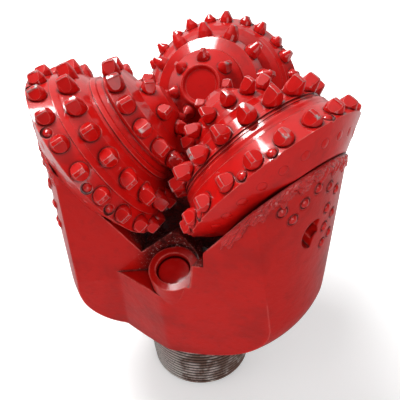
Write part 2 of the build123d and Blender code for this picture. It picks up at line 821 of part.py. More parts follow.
def shared_rings():
    """The rings that are alike on all three units: nozzle O-rings and the two sets of snap rings."""
    with BuildPart() as o_rings:
        for unit in units:
            mouth = nozzle_plane(unit)
            middle = -port_depth - nozzle_length / 2
            with BuildSketch(section_plane(mouth)):
                with Locations((nozzle_radius - o_ring_radius, middle)):
                    Circle(o_ring_radius)
            revolve(axis=Axis(mouth.origin, mouth.z_dir))
    finish(o_rings, "nozzle_o_rings")
    ring_sets = [
        ("nozzle_snap_rings", nozzle_plane, port_radius, port_depth, 3.5),
        ("cap_snap_rings", reservoir_plane, reservoir_radius, cap_sink, 3.0),
    ]
    for name, plane_of, radius, foot, width in ring_sets:
        with BuildPart() as rings:
            for unit in units:
                mouth = plane_of(unit)
                with BuildSketch(mouth.offset(-foot)):
                    Circle(radius + snap_ring_reach - seat_clearance)
                    Circle(radius - width, mode=Mode.SUBTRACT)
                    with Locations((radius, 0)):
                        Rectangle(2 * width + 4, 7, mode=Mode.SUBTRACT)
                extrude(amount=snap_ring_thickness - seat_clearance)
        finish(rings, name)


legs()
for unit in units:
    cone_shell(unit)
    cone_inserts(unit)
    bearing(unit)
    leg_fittings(unit)
shared_rings()
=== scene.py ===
from math import cos, pi, radians, sin, tan

import bmesh
import bpy
import numpy as np
from bpy.props import FloatProperty, FloatVectorProperty, PointerProperty
from bpy.types import NodeSocket, Operator, Panel, PropertyGroup
from mathutils import Matrix, Vector


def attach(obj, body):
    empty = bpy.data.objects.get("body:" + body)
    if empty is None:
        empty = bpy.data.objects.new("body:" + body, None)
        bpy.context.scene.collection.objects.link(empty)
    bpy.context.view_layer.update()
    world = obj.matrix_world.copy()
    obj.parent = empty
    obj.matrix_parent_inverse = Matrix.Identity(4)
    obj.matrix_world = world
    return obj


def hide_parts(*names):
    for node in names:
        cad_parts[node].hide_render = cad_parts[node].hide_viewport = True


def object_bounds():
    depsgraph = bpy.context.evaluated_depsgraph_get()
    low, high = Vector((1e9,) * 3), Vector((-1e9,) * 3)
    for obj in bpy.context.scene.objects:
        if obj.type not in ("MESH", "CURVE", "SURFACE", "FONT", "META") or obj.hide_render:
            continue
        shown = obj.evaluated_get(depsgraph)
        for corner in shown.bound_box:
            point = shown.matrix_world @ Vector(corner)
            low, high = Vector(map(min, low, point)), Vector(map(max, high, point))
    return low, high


bl_info = {
    "name": "Three-cone drill bit",
    "version": (1, 0, 0),
    "blender": (4, 5, 0),
    "location": "3D View > Sidebar > Drill bit",
    "description": "Paints, threads and lights a three-cone roller drill bit",
    "category": "Object",
}

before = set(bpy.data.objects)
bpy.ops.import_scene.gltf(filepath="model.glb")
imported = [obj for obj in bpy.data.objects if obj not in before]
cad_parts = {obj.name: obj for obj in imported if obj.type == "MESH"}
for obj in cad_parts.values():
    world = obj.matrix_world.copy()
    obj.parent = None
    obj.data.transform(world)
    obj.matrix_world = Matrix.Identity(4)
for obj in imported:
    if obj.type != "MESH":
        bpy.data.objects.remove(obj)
cad_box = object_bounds()

# Where the legs, journals and jets stand, in degrees and metres; LEG_FACE is a station on a cone's axis.
UNITS = (1, 2, 3)
UNIT_AZIMUTHS = {1: -60.0, 2: 60.0, 3: 180.0}
JOURNAL_ANGLE = 33.0
# Shirttail buttons: azimuth from the leg's middle and height.
SHIRTTAIL_SPOTS = [(-14.0, 0.3510), (-9.3, 0.3380), (-4.8, 0.3500), (1.2, 0.3580), (8.4, 0.3500),
                   (14.5, 0.3380), (9.1, 0.3250), (14.5, 0.3110), (9.2, 0.3035), (14.5, 0.2870),
                   (9.4, 0.2830)]
# Each band on a cone: (station, height over the cone's skin) along its top, from nose to back.
CONE_BANDS = {
    1: [((0.0744, 0.0), (0.0752, 0.0016), (0.0786, 0.0018), (0.0796, 0.0)),
        ((0.1000, 0.0), (0.1060, 0.0008), (0.1066, 0.0))],
    2: [((0.0842, 0.0), (0.0868, 0.0014), (0.0876, 0.0015), (0.0882, 0.0)),
        ((0.0896, 0.0), (0.0901, 0.0007), (0.0909, 0.0007), (0.0914, 0.0)),
        ((0.0932, 0.0), (0.0938, 0.0016), (0.0952, 0.0016), (0.1010, 0.0))],
    3: [((0.1000, 0.0), (0.1060, 0.0007), (0.1066, 0.0))],
}
# The cones' skin where the bands lie: (station, radius).
CONE_SKINS = {
    1: [(0.0695, 0.0525), (0.0820, 0.0600), (0.0865, 0.0695), (0.0980, 0.0775), (0.1238, 0.09336)],
    2: [(0.0745, 0.0675), (0.0865, 0.0730), (0.0980, 0.0775), (0.1238, 0.09336)],
    3: [(0.0930, 0.0705), (0.0980, 0.0775), (0.1238, 0.09336)],
}
CONE_OFFSET = 0.0057
APEX_HEIGHT = 0.410
LEG_FACE = 0.1438
LEG_RADIUS = 0.152975
PIN_LENGTH = 0.127
SEAM_AZIMUTHS = (21.0, 141.0, 261.0)
NOZZLE_AHEAD = 65.0
NOZZLE_REACH = 0.104
NOZZLE_HEIGHT = 0.256
NOZZLE_RISE = 73.0
BOSS_RADIUS = 0.0245
# Flat faces of a leg's head: azimuth from the leg, distance at the break height and lean above it.
FACE_BREAK_HEIGHT = 0.218
FLANK_FACE = (-54.0, 0.1187, 5.6)
BACK_FACE = (83.3, 0.0706, 2.5)
# Rings of chisels by node: station, seat radius, lean and height of each ring.
CHISEL_RINGS = {
    "gauge_inserts_1": [(0.1151, 0.0881, 12.0, 0.0098)],
    "gauge_inserts_2": [(0.1151, 0.0881, 12.0, 0.0098)],
    "gauge_inserts_3": [(0.1127, 0.0866, 12.0, 0.0115), (0.1170, 0.0892, 12.0, 0.0081)],
    "second_row_inserts_1": [(0.0924, 0.0732, 12.0, 0.0140)],
    "second_row_inserts_2": [(0.0801, 0.0706, 12.0, 0.0150)],
    "second_row_inserts_3": [(0.0740, 0.0595, 10.0, 0.0150)],
    "inner_inserts_1": [(0.0582, 0.0526, 20.0, 0.0130), (0.0397, 0.0257, 40.0, 0.0100)],
    "inner_inserts_2": [(0.0504, 0.0398, 20.0, 0.0130), (0.0296, 0.0156, 50.0, 0.0090)],
    "inner_inserts_3": [(0.0464, 0.0288, 35.0, 0.0100)],
}

# Smooth steps between looks, from 0 to 1, in metres. On a cone, by station or radius:
HEEL_END = (0.1262, 0.1250)
BORE_RADIUS = (0.0412, 0.0408)
BORE_START = (0.0590, 0.0595)
GLAND_RADIUS = (0.0470, 0.0465)
GLAND_START = (0.1250, 0.1260)
JOURNAL_RADIUS = (0.0385, 0.0380)
JOURNAL_END = (LEG_FACE + 0.001, LEG_FACE)
# On a jet boss, by radius and by station along the jet:
BOSS_EDGE = (BOSS_RADIUS, BOSS_RADIUS + 0.0015)
BOSS_FOOT = (-0.020, -0.028)
# On a leg, by height or by reach from the bit's axis:
TAIL_RISE = (0.240, 0.250)
TAIL_REACH = (0.1500, 0.1515)
LEDGE_RISE = (0.240, 0.262)
LEDGE_TOP = (0.300, 0.290)
THROAT_RISE = (0.215, 0.232)
THROAT_REACH = (0.104, 0.086)
GLINT_REACH = (0.035, 0.060)
# Painted shade towards the bottom of the legs, by height:
BOTTOM_SHADE_RISE = (0.158, 0.128)
PIN_TOP = (PIN_LENGTH - 0.0004, PIN_LENGTH - 0.0010)
PIN_DARKENING_RISE = (0.070, 0.118)
WATER_TOP = (0.200, 0.190)
WATER_REACH = (0.0418, 0.0414)
# Side of the pin that is brown with grease.
GREASY_AZIMUTH = 40.0
COAT_ROUGHNESS = 0.07
PAINT_SPECULAR = 0.1
LEG_COAT_SHARE = 0.55

# Points round a full turn, or for the thread round each turn.
THREAD_STEPS = 96
BAND_STEPS = 241
BUTTON_STEPS = 25
FLOOR_STEPS = 97
# The thread's flank from square in degrees, and the turn in radians over which it runs in and out.
THREAD_FLANK = 30.0
THREAD_RUN_IN = 0.4 * pi
THREAD_RUN_OUT = 1.2 * pi
# How deep the thread, a band's edges, a band's underside and a button's foot lie under the surface.
THREAD_SUNK = 0.00035
BAND_SUNK = 0.00005
BAND_ROOT = 0.0006
BUTTON_ROOT = 0.003
# Hard facing: how far past the leg's face it starts, azimuths that it runs between, how soon its ends
# fade in degrees, and points along and across it.
FACING_START = 0.0004
FACING_SPAN = (-33.0, 24.0)
FACING_FADE = 2.5
FACING_GRID = (330, 26)

FLOOR_RINGS = (0.0, 0.5, 2.0, 6.0)
# Level direction from the camera's side of the room to the backdrop.
BACKDROP_SIDE = (-0.334, 0.943, 0.0)
# Lamps: name, place, size, which power, its share, seen in gloss, lights paint.
LAMPS = [("key_lamp", (-0.50, 0.02, 1.45), 0.50, "key", 1.0, True, True),
         ("gloss_lamp", (-0.50, 0.02, 1.44), 0.46, "gloss", 1.0, True, False),
         ("front_lamp", (0.95, -1.05, 0.70), 0.9, "fill", 1.0, True, True),
         ("left_lamp", (-1.0, -0.9, 0.45), 0.9, "fill", 0.6, False, True)]
LAMP_TARGET = (0, 0, 0.25)
EYE = (0.15063, -0.42532, 0.59948)
EYE_TARGET = (0, 0, 0.2594)
EYE_ROLL = -1.474
LENS_LENGTH = 44.49
LENS_SHIFT = (0.0054, 0.0079)


# ---- settings
def colour(label, text, default):
    """A colour property."""
    return FloatVectorProperty(name=label, description=text, default=default, size=3, min=0, max=1,
                               subtype="COLOR")


def length(label, text, default):
    """A length property in metres."""
    return FloatProperty(name=label, description=text, default=default, min=0, unit="LENGTH")


def share(label, text, default):
    """A property from nothing to all."""
    return FloatProperty(name=label, description=text, default=default, min=0, max=1, subtype="FACTOR")


class BitPaintSettings(PropertyGroup):
    body: colour("Body paint", "Red enamel on the legs and bowl", (0.475, 0.005, 0.003))
    cone: colour("Cone paint", "Red enamel on the cones", (0.55, 0.005, 0.004))
    # Settled paint, also used as the painted shade towards the bottom of the legs.
    shade: colour("Settled paint", "Thick paint and dirt in low places", (0.20, 0.005, 0.004))
    # Pale edge paint: thinned paint on edges, and a painted highlight along edges and ridges.
    thin: colour("Thin paint", "Paint drawn thin over edges", (0.80, 0.15, 0.13))
    # Throat colour: dirt and painted shade on the rough throat and the ledges beside the jets.
    soot: colour("Throat dirt", "Dirt and thin paint on the rough throat", (0.030, 0.006, 0.005))
    # Painted highlight: pale specks that stand in for glints on the rough throat.
    glint: colour("Throat glints", "Bare high spots of the rough throat", (0.72, 0.50, 0.45))
    gloss: share("Gloss roughness", "Roughness of the enamel", 0.26)
    coat: share("Clear coat", "Weight of the glossy top layer", 0.60)


class BitSteelSettings(PropertyGroup):
    bright: colour("Worn steel", "Bright steel of the pin", (0.98, 0.90, 0.85))
    brown: colour("Greased steel", "Steel under brown thread grease", (0.32, 0.19, 0.15))
    # Dark steel: painted shade in the roots of the thread, and the darkening of the pin towards its top.
    grime: colour("Root grime", "Dark grease in the roots of the thread", (0.045, 0.030, 0.025))
    carbide: colour("Carbide", "Bare crest of an insert", (0.36, 0.34, 0.33))
    bronze: colour("Bronze", "Bushings and thrust washers", (0.50, 0.27, 0.10))
    rubber: colour("Rubber", "Seals and diaphragms", (0.018, 0.018, 0.019))


class BitThreadSettings(PropertyGroup):
    pitch: length("Pitch", "Height of one turn of the thread", 0.00635)
    depth: length("Depth", "Height of the thread over its root", 0.0031)
    crest: length("Crest", "Width of the flat crest", 0.0010)
    root_radius: length("Root radius", "Radius of the root at the pin's end", 0.0624152)
    taper: FloatProperty(name="Taper", description="Diameter gained over length", default=1 / 6, min=0)
    start: length("Start", "Height where the thread begins", 0.0025)
    end: length("End", "Height where the thread has run out", 0.1125)


class BitFacingSettings(PropertyGroup):
    width: length("Width", "How far the hard facing reaches down from the shirttail's edge", 0.0085)
    height: length("Height", "Difference between its beads and the valleys between them", 0.0018)
    root: length("Root", "How deep its border sinks into the leg", 0.0006)
    bead: length("Bead", "Distance between its weld beads", 0.0085)


class BitButtonSettings(PropertyGroup):
    radius: length("Radius", "Radius of a shirttail button", 0.0063)
    dome: length("Dome radius", "Radius of its domed head", 0.0047)
    head: length("Head", "How far the dome stands proud", 0.0023)
    gap: length("Gap depth", "Depth of the gap round the dome", 0.0009)
    lip: length("Lip", "Width of its outer lip", 0.0006)


class BitStageSettings(PropertyGroup):
    floor: colour("Floor", "Colour of the floor", (0.88, 0.88, 0.88))
    floor_dim: colour("Floor in gloss", "Colour of the near floor in gloss", (0.30, 0.30, 0.30))
    floor_lift: share("Floor lift", "Light that whitens the floor for the camera", 0.30)
    backdrop: colour("Backdrop", "Colour behind the bit", (1.0, 1.0, 1.0))
    surround: FloatProperty(name="Surround", description="Strength of the room's light", default=0.46, min=0)
    gloss_dark: share("Dark side", "Strength of the studio's dark side in gloss", 0.045)
    key: FloatProperty(name="Key", description="Power of the key lamp", default=14.0, min=0, unit="POWER")
    gloss: FloatProperty(name="Gloss", description="Power of the lamp that only gloss shows", default=16.0,
                         min=0, unit="POWER")
    fill: FloatProperty(name="Fill", description="Power of the fill lamps", default=7.8, min=0, unit="POWER")


# ---- frames
def outward(azimuth):
    """Level unit vector at an azimuth from -Y, positive towards +X."""
    return Vector((sin(radians(azimuth)), -cos(radians(azimuth)), 0))


def sideways(azimuth):
    """Level unit vector square to the azimuth."""
    return Vector((cos(radians(azimuth)), sin(radians(azimuth)), 0))


def cone_out(unit):
    """Direction of a cone's axis from its nose to its leg."""
    tilt = radians(JOURNAL_ANGLE)
    return outward(UNIT_AZIMUTHS[unit]) * cos(tilt) - Vector((0, 0, sin(tilt)))


def cone_origin(unit):
    """Point that a cone's stations are measured from."""
    return sideways(UNIT_AZIMUTHS[unit]) * CONE_OFFSET + Vector((0, 0, APEX_HEIGHT))


def nozzle_out(unit):
    """Unit vector along a jet nozzle, out of its mouth."""
    azimuth = UNIT_AZIMUTHS[unit] + NOZZLE_AHEAD
    return outward(azimuth) * cos(radians(NOZZLE_RISE)) + Vector((0, 0, sin(radians(NOZZLE_RISE))))


def nozzle_origin(unit):
    """Middle of a jet nozzle's mouth."""
    return outward(UNIT_AZIMUTHS[unit] + NOZZLE_AHEAD) * NOZZLE_REACH + Vector((0, 0, NOZZLE_HEIGHT))


# ---- node helpers
def node(tree, kind, inputs=None, **settings):
    """A shader node with its settings and unlinked inputs."""
    made = tree.nodes.new(kind)
    for name, value in settings.items():
        setattr(made, name, value)
    for name, value in (inputs or {}).items():
        if isinstance(value, NodeSocket):
            tree.links.new(value, made.inputs[name])
        else:
            made.inputs[name].default_value = value
    return made


def maths(tree, operation, *values, clamp=False):
    """Output of a math node."""
    return node(tree, "ShaderNodeMath", dict(enumerate(values)), operation=operation,
                use_clamp=clamp).outputs[0]


def vector_maths(tree, operation, *values, output=0):
    """Output of a vector math node."""
    return node(tree, "ShaderNodeVectorMath", dict(enumerate(values)),
                operation=operation).outputs[output]


def chain(tree, operation, first, *others):
    """A math operation run on through several values."""
    for other in others:
        first = maths(tree, operation, first, other)
    return first


def times(tree, *values):
    """Product of values."""
    return chain(tree, "MULTIPLY", *values)


def plus(tree, *values):
    """Sum of values."""
    return chain(tree, "ADD", *values)


def most(tree, *values):
    """Greatest of values."""
    return chain(tree, "MAXIMUM", *values)


def rest(tree, value):
    """What a value leaves of 1."""
    return maths(tree, "SUBTRACT", 1.0, value)


def dot(tree, first, second):
    """Dot product of two vectors."""
    return vector_maths(tree, "DOT_PRODUCT", first, second, output=1)


def here(tree):
    """The shaded point in the frame's metres."""
    return tree.nodes.new("ShaderNodeTexCoord").outputs["Object"]


def height_of(tree, vector):
    """Z of a vector."""
    return node(tree, "ShaderNodeSeparateXYZ", {0: vector}).outputs["Z"]


def reach_of(tree, place):
    """Distance of a point from the bit's axis."""
    return vector_maths(tree, "LENGTH", vector_maths(tree, "MULTIPLY", place, (1, 1, 0)), output=1)


def ramp(tree, value, low, high, start=0.0, end=1.0):
    """Smooth step of a value from low to high."""
    made = node(tree, "ShaderNodeMapRange", {0: value, 1: low, 2: high, 3: start, 4: end},
                interpolation_type="SMOOTHSTEP")
    return made.outputs[0]


def blend(tree, mask, first, second):
    """First colour where a mask is 0, second where it is 1."""
    return node(tree, "ShaderNodeMix", {0: mask, 6: first, 7: second}, data_type="RGBA").outputs[2]


def noise(tree, place, size, detail=3.0, roughness=0.5, distortion=0.0):
    """Noise whose lumps are about one size across, in the place's own unit."""
    made = node(tree, "ShaderNodeTexNoise", {"Vector": place, "Scale": 1 / size, "Detail": detail,
                                             "Roughness": roughness, "Distortion": distortion})
    return made.outputs["Fac"]


def rgba(values):
    """A colour with full alpha."""
    return (*values, 1.0)


def new_group(name, inputs, outputs):
    """An empty node group with named sockets; returns the group, its inputs and its output node."""
    group = bpy.data.node_groups.new(name, "ShaderNodeTree")
    for kind, label, value in inputs:
        socket = group.interface.new_socket(name=label, in_out="INPUT", socket_type="NodeSocket" + kind)
        socket.default_value = value
    for kind, label in outputs:
        group.interface.new_socket(name=label, in_out="OUTPUT", socket_type="NodeSocket" + kind)
    entry = group.nodes.new("NodeGroupInput")
    leave = group.nodes.new("NodeGroupOutput")
    return group, entry.outputs, leave


def use(tree, name, **inputs):
    """Outputs of a shared node group set into a material."""
    made = tree.nodes.new("ShaderNodeGroup")
    made.node_tree = bpy.data.node_groups[name]
    feed(tree, made, **inputs)
    return made.outputs


def new_material(name):
    """A material with only a Principled shader and its output."""
    material = bpy.data.materials.new(name)
    material.use_nodes = True
    tree = material.node_tree
    tree.nodes.clear()
    shader = tree.nodes.new("ShaderNodeBsdfPrincipled")
    out = tree.nodes.new("ShaderNodeOutputMaterial")
    tree.links.new(shader.outputs[0], out.inputs["Surface"])
    return material, tree, shader


def feed(tree, target, **inputs):
    """Set or link inputs of a shader, a group or a group's output."""
    for label, value in inputs.items():
        socket = target.inputs[label.replace("_", " ")]
        if isinstance(value, NodeSocket):
            tree.links.new(value, socket)
        else:
            socket.default_value = value


def bumped(tree, height, distance, normal=None):
    """Normal of a surface with relief, where a height of 1 stands the distance proud."""
    made = node(tree, "ShaderNodeBump", {"Strength": 1.0, "Distance": distance, "Height": height})
    if normal is not None:
        tree.links.new(normal, made.inputs["Normal"])
    return made.outputs[0]


# ---- shared effects
def make_cone_place():
    """Group: station along an axis and radius about it."""
    group, given, leave = new_group(
        "bit_cone_place",
        [("Vector", "Origin", (0, 0, 0)), ("Vector", "Axis", (0, 0, 1))],
        [("Float", "Station"), ("Float", "Radius")])
    arm = vector_maths(group, "SUBTRACT", here(group), given["Origin"])
    across = vector_maths(group, "CROSS_PRODUCT", arm, given["Axis"])
    feed(group, leave, Station=dot(group, arm, given["Axis"]),
         Radius=vector_maths(group, "LENGTH", across, output=1))


def make_edges():
    """Group: rounded normal, and how far the surface turns within a width of each point."""
    group, given, leave = new_group(
        "bit_edges",
        [("Float", "Width", 0.001)],
        [("Float", "Mask"), ("Vector", "Normal")])
    rounded = node(group, "ShaderNodeBevel", {"Radius": given["Width"]}, samples=6).outputs[0]
    plain = group.nodes.new("ShaderNodeNewGeometry").outputs["Normal"]
    feed(group, leave, Mask=ramp(group, dot(group, rounded, plain), 0.995, 0.90), Normal=rounded)


def make_seams():
    """Group: 1 within a width of the three welds where the legs meet."""
    group, given, leave = new_group("bit_seams", [("Float", "Width", 0.003)],
                                    [("Float", "Mask")])
    place = here(group)
    welds = []
    for azimuth in SEAM_AZIMUTHS:
        aside = maths(group, "ABSOLUTE", dot(group, place, sideways(azimuth)))
        ahead = dot(group, place, outward(azimuth))
        near = maths(group, "LESS_THAN", aside, given["Width"])
        welds.append(times(group, near, maths(group, "GREATER_THAN", ahead, 0.0)))
    feed(group, leave, Mask=most(group, *welds))


def make_enamel():
    """Group: brushed and drained enamel with painted shade in its crevices and edges pale with thinned paint
    and a painted highlight; its colour, roughness and height.
    """
    group, given, leave = new_group(
        "bit_enamel",
        [("Color", "Paint", (1, 0, 0, 1)), ("Color", "Shade", (0, 0, 0, 1)), ("Color", "Thin", (1, 1, 1, 1)),
         ("Float", "Edge", 0.0), ("Float", "Roughness", 0.3), ("Float", "Relief", 1.0),
         # The last colour is painted shade, which the crevices take.
         ("Float", "Reach", 0.0035), ("Color", "Crevice_shade", (0.035, 0.001, 0.001, 1))],
        [("Color", "Color"), ("Float", "Roughness"), ("Float", "Height")])
    place = here(group)
    # Painted shade: occlusion within Reach darkens grooves, seats and gaps towards the crevice colour.
    air = node(group, "ShaderNodeAmbientOcclusion", {"Distance": given["Reach"]}, samples=6).outputs["AO"]
    crevice_shade = ramp(group, air, 0.93, 0.52, 0.0, 0.92)
    clouds = noise(group, place, 0.045, 4.0, 0.6)
    blotches = noise(group, place, 0.009, 3.0, 0.6)
    peel = noise(group, place, 0.0022, 2.0, 0.5)
    settled = times(group, ramp(group, clouds, 0.45, 0.75), 0.45)
    speckle = times(group, ramp(group, blotches, 0.52, 0.72), 0.22)
    dark = maths(group, "ADD", settled, speckle, clamp=True)
    base = blend(group, dark, given["Paint"], given["Shade"])
    # Painted highlight: the Edge mask lays pale paint along edges, as highlights as well as thinned paint.
    lit = times(group, given["Edge"], ramp(group, blotches, 0.30, 0.62, 0.25, 0.8))
    thinned_and_highlighted = blend(group, lit, base, given["Thin"])
    feed(group, leave, Color=blend(group, crevice_shade, thinned_and_highlighted, given["Crevice_shade"]),
         Roughness=plus(group, given["Roughness"], times(group, blotches, 0.16)),
         Height=plus(group, times(group, peel, 0.22), times(group, blotches, given["Relief"])))


def make_steel():
    """Group: turned steel with grease and stains, its colour, roughness and height."""
    group, given, leave = new_group(
        "bit_steel",
        [("Color", "Bright", (1, 1, 1, 1)), ("Color", "Stain", (0, 0, 0, 1)),
         ("Float", "Stained", 0.5)],
        [("Color", "Color"), ("Float", "Roughness"), ("Float", "Height")])
    place = here(group)
    clouds = noise(group, place, 0.02, 5.0, 0.65, 0.4)
    grit = noise(group, place, 0.0012, 3.0, 0.6)
    limit = maths(group, "SUBTRACT", 0.78, times(group, given["Stained"], 0.55))
    dirty = ramp(group, maths(group, "SUBTRACT", clouds, limit), -0.12, 0.16)
    feed(group, leave, Color=blend(group, dirty, given["Bright"], given["Stain"]), Height=grit,
         Roughness=plus(group, times(group, dirty, 0.28), ramp(group, grit, 0.3, 0.8, 0.24, 0.42)))


# ---- materials
def on_cone(tree, unit):
    """Station and Radius of the shaded point about a cone's axis."""
    return use(tree, "bit_cone_place", Origin=cone_origin(unit), Axis=cone_out(unit))


def enamel(tree, paint, tint, edge, relief, **changes):
    """Outputs of the enamel group in one of the bit's paints."""
    return use(tree, "bit_enamel", Paint=rgba(tint), Shade=rgba(paint.shade), Thin=rgba(paint.thin),
               Edge=edge, Relief=relief, **{"Roughness": paint.gloss, **changes})


def lacquer(tree, shader, paint, coat, tone, metal, distance, normal):
    """Feed a shader with glossy paint over a tone, metallic where the paint is off."""
    feed(tree, shader, Base_Color=tone, Metallic=metal, Roughness=coat["Roughness"], Coat_Weight=paint.coat,
         Coat_Roughness=COAT_ROUGHNESS, Specular_IOR_Level=PAINT_SPECULAR,
         Normal=bumped(tree, coat["Height"], distance, normal))


def cone_material(unit, paint):
    """Glossy enamel over a cone, painted shade in its grooves, its ridges pale with thinned paint and a
    painted highlight, bare inside.
    """
    material, tree, shader = new_material(f"cone_enamel_{unit}")
    where = on_cone(tree, unit)
    edges = use(tree, "bit_edges", Width=0.0016)
    coat = enamel(tree, paint, paint.cone,
                  times(tree, edges["Mask"], ramp(tree, where["Station"], *HEEL_END)), 0.6)
    bore = times(tree, ramp(tree, where["Radius"], *BORE_RADIUS), ramp(tree, where["Station"], *BORE_START))
    gland = times(tree, ramp(tree, where["Radius"], *GLAND_RADIUS),
                  ramp(tree, where["Station"], *GLAND_START))
    inside = most(tree, bore, gland)
    steel = use(tree, "bit_steel", Bright=(0.4, 0.38, 0.37, 1), Stain=(0.1, 0.07, 0.05, 1), Stained=0.2)
    lacquer(tree, shader, paint, coat, blend(tree, inside, coat["Color"], steel["Color"]), inside,
            0.00035, edges["Normal"])
    return material


def pin_look(tree, steel_set, thread):
    """Colour, roughness and grain of the pin: bright crests over roots darkened as painted shade, browner to
    one side and darker towards its top.
    """
    place = here(tree)
    rise = height_of(tree, place)
    root = maths(tree, "MULTIPLY_ADD", rise, thread.taper / 2, thread.root_radius)
    proud = maths(tree, "DIVIDE", maths(tree, "SUBTRACT", reach_of(tree, place), root), thread.depth)
    around = vector_maths(tree, "NORMALIZE", vector_maths(tree, "MULTIPLY", place, (1, 1, 0)))
    streaks = noise(tree, around, 0.45, 1.0, 0.40)
    greasy = ramp(tree, dot(tree, around, outward(GREASY_AZIMUTH)), 0.45, 0.98, 0.10, 0.85)
    steel = use(tree, "bit_steel", Bright=rgba(steel_set.bright), Stain=rgba(steel_set.brown),
                Stained=times(tree, greasy, ramp(tree, streaks, 0.30, 0.70, 1.0, 0.6)))
    # Painted shade: the roots of the thread darken, while the crests keep the bright steel.
    unshaded_crests = times(tree, ramp(tree, proud, 0.30, 0.90), ramp(tree, streaks, 0.35, 0.65, 0.8, 1.0))
    tone = blend(tree, unshaded_crests, rgba(steel_set.grime), steel["Color"])
    # The pin darkens towards its top in the same dark colour.
    tone = blend(tree, times(tree, ramp(tree, rise, *PIN_DARKENING_RISE), 0.40), tone, rgba(steel_set.grime))
    rough = plus(tree, steel["Roughness"], ramp(tree, proud, 0.9, 0.1, 0.0, 0.3))
    return tone, rough, steel["Height"]


def pin_material(steel_set, thread):
    """Steel of the thread."""
    material, tree, shader = new_material("pin_steel")
    tone, rough, grain = pin_look(tree, steel_set, thread)
    feed(tree, shader, Base_Color=tone, Metallic=0.7, Roughness=rough, Normal=bumped(tree, grain, 0.00006))
    return material


def throat_mask(tree, rise, reach, upward):
    """1 on rough cast skin: the throat and the level floors beside the jets, but not their round bosses. The
    legs paint it near black as dirt and painted shade.
    """
    ledge = times(tree, ramp(tree, upward, 0.80, 0.95), ramp(tree, rise, *LEDGE_RISE),
                  ramp(tree, rise, *LEDGE_TOP))
    throat = times(tree, ramp(tree, reach, *THROAT_REACH), ramp(tree, rise, *THROAT_RISE))
    mask = most(tree, throat, ledge)
    for unit in UNITS:
        jet = use(tree, "bit_cone_place", Origin=nozzle_origin(unit), Axis=nozzle_out(unit))
        away = most(tree, ramp(tree, jet["Radius"], *BOSS_EDGE), ramp(tree, jet["Station"], *BOSS_FOOT))
        mask = times(tree, mask, away)
    return mask


def bearing_mask(tree):
    """1 on the three journals."""
    journals = []
    for unit in UNITS:
        where = on_cone(tree, unit)
        journals.append(times(tree, ramp(tree, where["Radius"], *JOURNAL_RADIUS),
                              ramp(tree, where["Station"], *JOURNAL_END)))
    return most(tree, *journals)


def leg_material(paint, steel_set, thread):
    """Enamel on castings and machined faces with painted shade towards the bottom, rough skin in the throat
    darkened as dirt and painted shade with painted glints, bare steel on pin and bearings.
    """
    material, tree, shader = new_material("leg_enamel")
    place = here(tree)
    rise = height_of(tree, place)
    reach = reach_of(tree, place)
    plain = tree.nodes.new("ShaderNodeNewGeometry").outputs["Normal"]
    edges = use(tree, "bit_edges", Width=0.0030)
    seam = use(tree, "bit_seams", Width=0.0032)["Mask"]
    rounded = node(tree, "ShaderNodeMix", {0: seam, 4: edges["Normal"], 5: plain},
                   data_type="VECTOR").outputs[1]
    tail = times(tree, ramp(tree, rise, *TAIL_RISE), ramp(tree, reach, *TAIL_REACH))
    edge = times(tree, edges["Mask"], rest(tree, most(tree, seam, tail)))
    throat = throat_mask(tree, rise, reach, height_of(tree, plain))
    crust = noise(tree, place, 0.0058, 5.0, 0.68, 0.3)
    ripple = noise(tree, place, 0.020, 2.0, 0.5)
    glint_specks = noise(tree, place, 0.0017, 2.0, 0.6)
    coat = enamel(tree, paint, paint.body, edge, 0.9)
    # Painted shade: the legs darken towards the bottom above the pin, in the settled paint's colour.
    foot = times(tree, ramp(tree, rise, *BOTTOM_SHADE_RISE, 0.0, 0.45), ramp(tree, ripple, 0.3, 0.6, 0.6, 1.0))
    # Dirt and painted shade: the rough throat and ledges go near black, patchy with the crust.
    soot = times(tree, throat, ramp(tree, crust, 0.35, 0.62, 0.95, 0.60))
    # Painted highlight: pale specks in the throat stand in for glints off its rough paint.
    glints = times(tree, ramp(tree, glint_specks, 0.60, 0.66, 0.0, 0.9), ramp(tree, crust, 0.44, 0.54), throat,
                   ramp(tree, reach, *GLINT_REACH))
    shaded = coat["Color"]
    for mask, tint in ((foot, paint.shade), (soot, paint.soot), (glints, paint.glint)):
        shaded = blend(tree, mask, shaded, rgba(tint))
    water = times(tree, ramp(tree, reach, *WATER_REACH), ramp(tree, rise, *WATER_TOP))
    bare = most(tree, ramp(tree, rise, *PIN_TOP), water, bearing_mask(tree))
    tone, steel_rough, _ = pin_look(tree, steel_set, thread)
    relief = plus(tree, coat["Height"], times(tree, ripple, 1.1), times(tree, throat, crust, 9.0))
    relief = times(tree, relief, rest(tree, times(tree, bare, 0.9)))
    rough = plus(tree, coat["Roughness"], times(tree, throat, 0.05))
    mixed = node(tree, "ShaderNodeMix", {0: bare, 2: rough, 3: steel_rough}).outputs[0]
    feed(tree, shader, Base_Color=blend(tree, bare, shaded, tone), Metallic=times(tree, bare, 0.9),
         Roughness=mixed, Coat_Weight=times(tree, rest(tree, bare), paint.coat * LEG_COAT_SHARE),
         Coat_Roughness=0.10, Specular_IOR_Level=PAINT_SPECULAR, Normal=bumped(tree, relief, 0.0005, rounded))
    return material


def facing_material(paint):
    """Enamel run over hard facing: glossier, with dark specks, and painted shade in the valleys between the
    beads.
    """
    material, tree, shader = new_material("hard_facing_enamel")
    grains = noise(tree, here(tree), 0.0016, 4.0, 0.62)
    # Reach sets how far the painted crevice shade reaches into the valleys between the beads.
    coat = enamel(tree, paint, paint.cone, 0.0, 1.2, Roughness=paint.gloss * 0.7, Reach=0.0010)
    tone = blend(tree, ramp(tree, grains, 0.48, 0.28, 0.0, 0.4), coat["Color"], rgba(paint.shade))
    relief = plus(tree, coat["Height"], times(tree, grains, 1.6))
    feed(tree, shader, Base_Color=tone, Roughness=coat["Roughness"], Coat_Weight=paint.coat,
         Coat_Roughness=0.06, Specular_IOR_Level=0.4, Normal=bumped(tree, relief, 0.0004))
    return material


